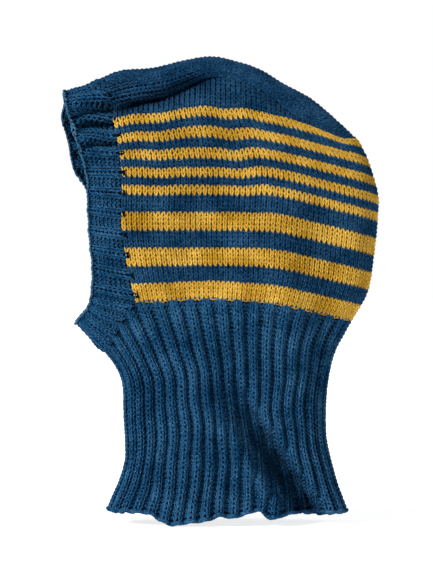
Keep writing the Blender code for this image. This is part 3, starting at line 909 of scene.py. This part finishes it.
def wool(name, dark, middle, light, halo, speckle):
    """Plied wool: twisted strands, streaks of lighter and darker fibre, and a soft halo."""
    material = bpy.data.materials.new(name)
    material.use_nodes = True
    tree = material.node_tree
    shader = tree.nodes["Principled BSDF"]
    place = tree.nodes.new("ShaderNodeUVMap")
    place.uv_map = "yarn"
    split = tree.nodes.new("ShaderNodeSeparateXYZ")
    link(tree, place.outputs["UV"], split.inputs[0])
    lay = math_node(tree, "MULTIPLY", split.outputs["X"], 1 / TWIST_PITCH)
    lay = math_node(tree, "ADD", lay, split.outputs["Y"])
    ply = math_node(tree, "SINE", math_node(tree, "MULTIPLY", lay, np.pi * PLIES), 0.0)
    ply = math_node(tree, "ABSOLUTE", ply, 0.0)
    joined = tree.nodes.new("ShaderNodeCombineXYZ")
    streak_x = math_node(tree, "MULTIPLY", split.outputs["X"], STREAK_LENGTH)
    streak_y = math_node(tree, "MULTIPLY", lay, STREAK_TURNS)
    link(tree, streak_x, joined.inputs["X"])
    link(tree, streak_y, joined.inputs["Y"])
    streaks = noise_node(tree, joined.outputs[0], FIBRE_SCALE, 3.0, 0.7)
    body = tree.nodes.new("ShaderNodeTexCoord")
    patches = noise_node(tree, body.outputs["Object"], PATCH_SCALE, 2.0)
    fuzz = noise_node(tree, body.outputs["Object"], FUZZ_SCALE, 2.0)
    flecks = noise_node(tree, body.outputs["Object"], FLECK_SCALE, 2.0)
    # The ply term darkens the tone between the plies and lightens it on their crests: painted shade
    # and painted highlight
    changes = ((patches, 0.5, PATCH_SHARE), (ply, GROOVE_MIDDLE, GROOVE_PAINTED_SHADE_SHARE), (flecks, 0.5, speckle))
    tone = streaks
    for value, middle_value, share in changes:
        value = math_node(tree, "SUBTRACT", value, middle_value)
        tone = math_node(tree, "ADD", tone, math_node(tree, "MULTIPLY", value, share))
    colour = ramp_node(tree, tone, tuple(zip(TONES, (dark, middle, light))))
    link(tree, colour, shader.inputs["Base Color"])
    normal = bump_node(tree, ply, PLY_DEPTH, 0.8)
    normal = bump_node(tree, streaks, STREAK_DEPTH, 0.6, normal)
    normal = bump_node(tree, fuzz, FUZZ_DEPTH, 0.35, normal)
    link(tree, normal, shader.inputs["Normal"])
    set_inputs(shader, Roughness=0.9, Specular_IOR_Level=0.01, Sheen_Weight=0.03,
               Sheen_Roughness=0.45, Sheen_Tint=(*halo, 1.0))
    return material


def wool_pair(name, dark, middle, light, halo, speckle):
    """The yarn's own material, and a copy darkened as painted shade for the lining deep between the
    stitches.
    """
    shade = [tuple(LINING_PAINTED_SHADE * value for value in colour) for colour in (dark, middle, light)]
    yarn = wool(f"{name}_yarn", dark, middle, light, halo, speckle)
    return yarn, wool(f"{name}_lining", *shade, halo, speckle)


def floor_material():
    """Matt white ground, lit a little from within so that it stays as pale as the surroundings."""
    material = bpy.data.materials.new("pale_floor")
    material.use_nodes = True
    tree = material.node_tree
    shader = tree.nodes["Principled BSDF"]
    place = tree.nodes.new("ShaderNodeTexCoord")
    grain = noise_node(tree, place.outputs["Object"], 30.0, 4.0)
    colour = ramp_node(tree, grain, ((0.3, (0.54, 0.54, 0.55)), (0.7, (0.58, 0.58, 0.58))))
    link(tree, colour, shader.inputs["Base Color"])
    set_inputs(shader, Roughness=0.95, Emission_Color=WHITE, Emission_Strength=0.8)
    return material


# ---------------- pieces

# Twisted cords: radius of a strand and length of a turn; and how far behind the middle of the
# fabric the cords inside lie, and on which column
HEM_STRAND = 1.15
HEM_PITCH = 3.4
JOIN_STRAND = 0.85
JOIN_PITCH = 3.2
JOIN_DEPTH = 3.7
CARRIED_DEPTH = 3.2
PICK_UP_COLUMN = 0.8
CROWN_COLUMN = 7.2
NECK_ROUNDS = 6


def in_hood(piece, node):
    """A piece stands for a CAD node and moves with the hood."""
    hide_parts(node)
    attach(piece, "hood")


def make_neck(sheet, blue, random):
    """Neck in rounds of rows, 1 at the hem, each small enough to keep all its stitches."""
    rows = NECK_ROWS // NECK_ROUNDS
    for k in range(NECK_ROUNDS):
        piece = fabric(f"neck_ribbing_{k + 1}_knit", blue, sheet,
                       range(k * rows, (k + 1) * rows), (0, NECK_STITCHES), random,
                       ribbed=1.0, closed=True, lap=(0.5 if k == 0 else 0.0, 0.0))
        in_hood(piece, "neck_ribbing")


def make_cast_on_edge(sheet, blue):
    u = np.arange(0, NECK_STITCHES, 1 / RINGS)
    point, normal = sheet.frame(u, np.full(len(u), -0.4))
    knitting = Knitting()
    twisted_cord(knitting, point, normal, HEM_STRAND, HEM_PITCH, closed=True)
    hood_piece(knitting, "cast_on_edge_cord", blue, "cast_on_edge")


def hood_piece(knitting, name, material, node):
    piece = knitting.piece(name, material)
    in_hood(piece, node)


def make_stripes(sheet, blue, yellow, random):
    """Bands of the hood from the neck up, blue and yellow in turn, stripe 1 the highest."""
    start = NECK_ROWS
    for k, height in enumerate(STRIPE_ROWS):
        number = (len(STRIPE_ROWS) - k + 1) // 2
        if k % 2 == 0:
            node, wools, slot = f"yellow_stripe_{number}", yellow, "yellow_wool"
        else:
            node, wools, slot = f"blue_band_{number}", blue, "blue_wool"
        piece = fabric(f"{node}_knit", wools, sheet, range(start, start + height),
                       (0, 2 * SIDE_COLUMNS), random)
        in_hood(piece, node)
        start += height


def upper_reach(row):
    """Columns where an upper row still has room below the strip."""
    columns = np.arange(SIDE_COLUMNS + 1)
    base = hood_line(PANEL_TOP, columns / SIDE_COLUMNS)
    room = smooth(STRIP_EDGE, base[:, 0]) - base[:, 2]
    needed = (row - PANEL_TOP) * ROW_PITCH
    return columns[(room > needed) & (base[:, 0] < STRIP_BACK)]


def upper_lining(knitting, sheet, side):
    """Lining of an upper side, up to the crown strip all along its edge."""
    columns = np.arange(0.3, SIDE_COLUMNS - 6, 0.5)
    base = hood_line(PANEL_TOP, columns / SIDE_COLUMNS)
    room = np.maximum(smooth(STRIP_EDGE, base[:, 0]) - base[:, 2], 0)
    if side == "right":
        columns = 2 * SIDE_COLUMNS - columns[::-1]
        room = room[::-1]
    share = np.linspace(0, UPPER_LAP, 10)[:, None]
    v = PANEL_TOP + share * room / ROW_PITCH
    middle, normal = sheet.frame(np.broadcast_to(columns, v.shape), v)
    knitting.slab(middle, normal * LINING, False)


def make_upper_sides(sheets, blue, random):
    """Blue sides between the top stripe and the strip; their rows shorten as they go up."""
    for side, sheet in sheets.items():
        knitting = Knitting()
        for row in range(PANEL_TOP, PANEL_TOP + UPPER_ROWS):
            kept = upper_reach(row)
            if len(kept) < 2:
                break
            first, last = kept[0], kept[-1]
            if side == "right":
                first, last = 2 * SIDE_COLUMNS - last, 2 * SIDE_COLUMNS - first
            knit_row(knitting, sheet, row, first, last, random)
        upper_lining(knitting, sheet, side)
        hood_piece(knitting, f"upper_side_{side}_knit", blue, f"upper_side_{side}")


def make_crown_strip(sheet, blue, random):
    span = (-CROWN_STITCHES, CROWN_STITCHES)
    piece = fabric("crown_strip_knit", blue, sheet, range(STRIP_ROWS), span, random)
    in_hood(piece, "crown_strip")


# Stitches of the band's ring, from the middle of the brow: where the brow ends, where the chin
# begins, and where a side's two halves meet. Then its pieces: first and last stitch, the CAD
# node each stands for, and the body whose turn bend() looks up.
BROW = 10
CHIN = 61
MIDDLE = 34
RING = BAND_STITCHES
BAND_PIECES = (
    ("forehead_band", -BROW, BROW, "forehead_band", "forehead_brim"),
    ("face_band_right_upper", BROW, MIDDLE, "face_band_right", "forehead_brim"),
    ("face_band_right_lower", MIDDLE, CHIN, "face_band_right", "chin_flap"),
    ("chin_band", CHIN, RING - CHIN, "chin_band", "chin_flap"),
    ("face_band_left_lower", RING - CHIN, RING - MIDDLE, "face_band_left", "chin_flap"),
    ("face_band_left_upper", RING - MIDDLE, RING - BROW, "face_band_left", "forehead_brim"),
)

# Which way, and from where to where in millimetres, the band turns over at the brow and the chin
TURNS = {
    "forehead_brim": ((-0.8, 0.0, 0.6), 151.0, 166.5),
    "chin_flap": ((-0.95, 0.0, -0.31), 144.5, 155.5),
}


def bend(piece, body):
    """Bakes a face band piece's placement into its mesh; the turn of its body at the brow or the chin
    is looked up but not applied.
    """
    direction, start, end = TURNS[body]
    direction = Vector(direction).normalized()
    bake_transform(piece)


def make_face_band(sheet, blue, random):
    for name, first, last, node, body in BAND_PIECES:
        piece = fabric(f"{name}_knit", blue, sheet, range(BAND_ROWS),
                       (first, last), random, ribbed=1.0, lap=(1.0, 0.7))
        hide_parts(node)
        bend(piece, body)


# A loop of the cast-off chain: its length in stitches, how round its end is, and in millimetres
# half its width, how far its legs arch up and its yarn's radius
CHAIN_REACH = 1.008
CHAIN_ROUNDNESS = 0.03
CHAIN_WIDTH = 1.935
CHAIN_ARCH = 0.9
CHAIN_RADIUS = 0.98
CHAIN_VARIES = 0.06
CHAIN_POINTS = 15


def cast_off_loop(sheet, stitch, random):
    """One loop of the chain along the edge: two legs that arch over and go into the next."""
    q = np.linspace(-1, 1, CHAIN_POINTS)
    reach = CHAIN_REACH * np.sqrt(q ** 2 + CHAIN_ROUNDNESS)
    across = CHAIN_WIDTH * np.sin(np.pi * q / 2)
    arch = CHAIN_ARCH * np.sin(np.pi * np.abs(q))
    u = stitch + 0.5 - reach
    v = np.full(len(q), BAND_ROWS + 0.35)
    point, normal = sheet.frame(u, v)
    up = unit(sheet.at(u, v + 0.4) - sheet.at(u, v - 0.4))
    width = unit(normal - 0.35 * up)
    lift = unit(up + 0.5 * normal)
    wobble = 1 + CHAIN_VARIES * random.normal()
    path = point + width * (across * wobble)[:, None] + lift * arch[:, None]
    return path, lift


def make_cast_off(sheet, light_blue, random):
    for name, first, last, node, body in BAND_PIECES:
        knitting = Knitting()
        for stitch in range(first, last):
            path, lift = cast_off_loop(sheet, stitch, random)
            knitting.tube(path, lift, CHAIN_RADIUS)
        piece = knitting.piece(f"{name}_chain".replace("_band", "_cast_off"), light_blue)
        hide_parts(node.replace("_band", "_cast_off"))
        bend(piece, body)


def inside_path(sheet, u, v, depth):
    """Path behind the fabric, with the way back into it."""
    point, normal = sheet.frame(u, v)
    return point - normal * depth, normal


def make_join(sheet, u, v, node, blue):
    """A two-strand ridge inside, along a column."""
    path, normal = inside_path(sheet, np.full(len(v), u), v, JOIN_DEPTH)
    knitting = Knitting()
    twisted_cord(knitting, path, normal, JOIN_STRAND, JOIN_PITCH)
    hood_piece(knitting, f"{node}_cord", blue, node)


def make_joins(hood, strip, blue, yellow):
    """The picked-up edges, the crown joins and the carried yellow yarn."""
    v = np.arange(NECK_ROWS + 1, PANEL_TOP - 1, 1 / RINGS)
    make_join(hood, PICK_UP_COLUMN, v, "pick_up_ridge_left", blue)
    make_join(hood, 2 * SIDE_COLUMNS - PICK_UP_COLUMN, v, "pick_up_ridge_right", blue)
    wander = 2.7 + 0.18 * np.sin(v * 1.7) + 0.1 * np.sin(v * 0.63)
    path, normal = inside_path(hood, wander, v, CARRIED_DEPTH)
    knitting = Knitting()
    knitting.tube(path, normal, YARN_RADIUS * 0.9)
    hood_piece(knitting, "carried_yellow_strand", yellow, "carried_yellow_yarn")
    v = np.arange(4, STRIP_ROWS - 4, 1 / RINGS)
    make_join(strip, -CROWN_COLUMN, v, "crown_join_left", blue)
    make_join(strip, CROWN_COLUMN, v, "crown_join_right", blue)


# ---------------- stage

# The camera, in metres: where it looks, from how far, and how much it takes in from top to bottom
VIEW_TARGET = (-0.0132, 0.0, -0.0752)
VIEW_DISTANCE = 2.6
VIEW_HEIGHT = 0.4905
SENSOR = 36.0

# The sky's strength and colour, and each sun: the way it shines, its strength and its angle across
SKY = 0.22
SKY_COLOUR = (0.93, 0.96, 1.0, 1.0)
SUNS = (
    ("key", (0.64, 0.58, -0.46), 4.6, 0.25),
    ("fill", (-0.95, 0.30, -0.10), 1.3, 0.8),
    ("back", (-0.3, -0.8, -0.5), 0.4, 0.5),
)
FLOOR_HALF = 60.0


def make_camera():
    """Level with the middle of the hood, square to its left side, with a long lens."""
    data = bpy.data.cameras.new("camera")
    data.sensor_width = SENSOR
    data.lens = SENSOR * VIEW_DISTANCE / VIEW_HEIGHT
    camera = placed("camera", data)
    camera.location = Vector(VIEW_TARGET) + Vector((0.0, -VIEW_DISTANCE, 0.0))
    camera.rotation_euler = (np.pi / 2, 0.0, 0.0)
    data.clip_start = 0.01
    data.clip_end = 50.0
    bpy.context.scene.camera = camera


def make_sun(name, towards, strength, softness):
    """Soft light from far away, shining along a direction."""
    data = bpy.data.lights.new(name, "SUN")
    data.energy = strength
    data.angle = softness
    light = placed(name, data)
    light.rotation_euler = Vector(towards).to_track_quat("-Z", "Y").to_euler()


def make_world():
    """White surroundings, and a dimmer sky that lights the wool."""
    world = bpy.data.worlds.new("studio")
    world.use_nodes = True
    tree = world.node_tree
    sky = tree.nodes["Background"]
    set_inputs(sky, Color=SKY_COLOUR, Strength=SKY)
    seen = tree.nodes.new("ShaderNodeBackground")
    set_inputs(seen, Color=WHITE, Strength=1.0)
    ray = tree.nodes.new("ShaderNodeLightPath")
    mix = tree.nodes.new("ShaderNodeMixShader")
    link(tree, ray.outputs["Is Camera Ray"], mix.inputs[0])
    link(tree, sky.outputs[0], mix.inputs[1])
    link(tree, seen.outputs[0], mix.inputs[2])
    link(tree, mix.outputs[0], tree.nodes["World Output"].inputs["Surface"])
    bpy.context.scene.world = world


def make_stage(floor_z):
    """White ground at the height of the hem, the surroundings and the lights."""
    make_world()
    for sun in SUNS:
        make_sun(*sun)
    mesh = bpy.data.meshes.new("floor")
    corners = [(x * FLOOR_HALF, y * FLOOR_HALF, floor_z)
               for x, y in ((-1, -1), (1, -1), (1, 1), (-1, 1))]
    mesh.from_pydata(corners, [], [(0, 1, 2, 3)])
    mesh.materials.append(floor_material())
    floor = placed("floor", mesh)
    bpy.context.scene.view_settings.view_transform = "Standard"


def make_all():
    random = np.random.default_rng(7)
    blue = wool_pair("blue_wool", *BLUE)
    # The hood's stockinette takes the blue darkened as painted shade
    blue_painted_shade = wool_pair("blue_wool_painted_shade", *BLUE_PAINTED_SHADE)
    light_blue = wool_pair("cast_off", *LIGHT_BLUE)
    yellow = wool_pair("yellow_wool", *YELLOW)
    neck = neck_sheet()
    hood = hood_sheet()
    strip = strip_sheet()
    band = band_sheet()
    make_neck(neck, blue, random)
    make_cast_on_edge(neck, blue)
    make_stripes(hood, blue_painted_shade, yellow, random)
    make_upper_sides({"left": upper_sheet(False), "right": upper_sheet(True)}, blue_painted_shade, random)
    make_crown_strip(strip, blue_painted_shade, random)
    make_face_band(band, blue, random)
    make_cast_off(band, light_blue, random)
    make_joins(hood, strip, blue, yellow)


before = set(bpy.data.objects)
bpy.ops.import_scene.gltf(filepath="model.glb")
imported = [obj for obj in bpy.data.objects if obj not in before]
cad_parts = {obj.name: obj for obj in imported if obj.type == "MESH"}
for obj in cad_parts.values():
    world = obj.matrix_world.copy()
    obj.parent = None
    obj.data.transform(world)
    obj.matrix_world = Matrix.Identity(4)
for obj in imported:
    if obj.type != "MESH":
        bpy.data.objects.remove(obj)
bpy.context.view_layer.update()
make_all()
bpy.context.view_layer.update()
new_box = [list(corner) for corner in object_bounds()]
make_stage(new_box[0][2])
make_camera()
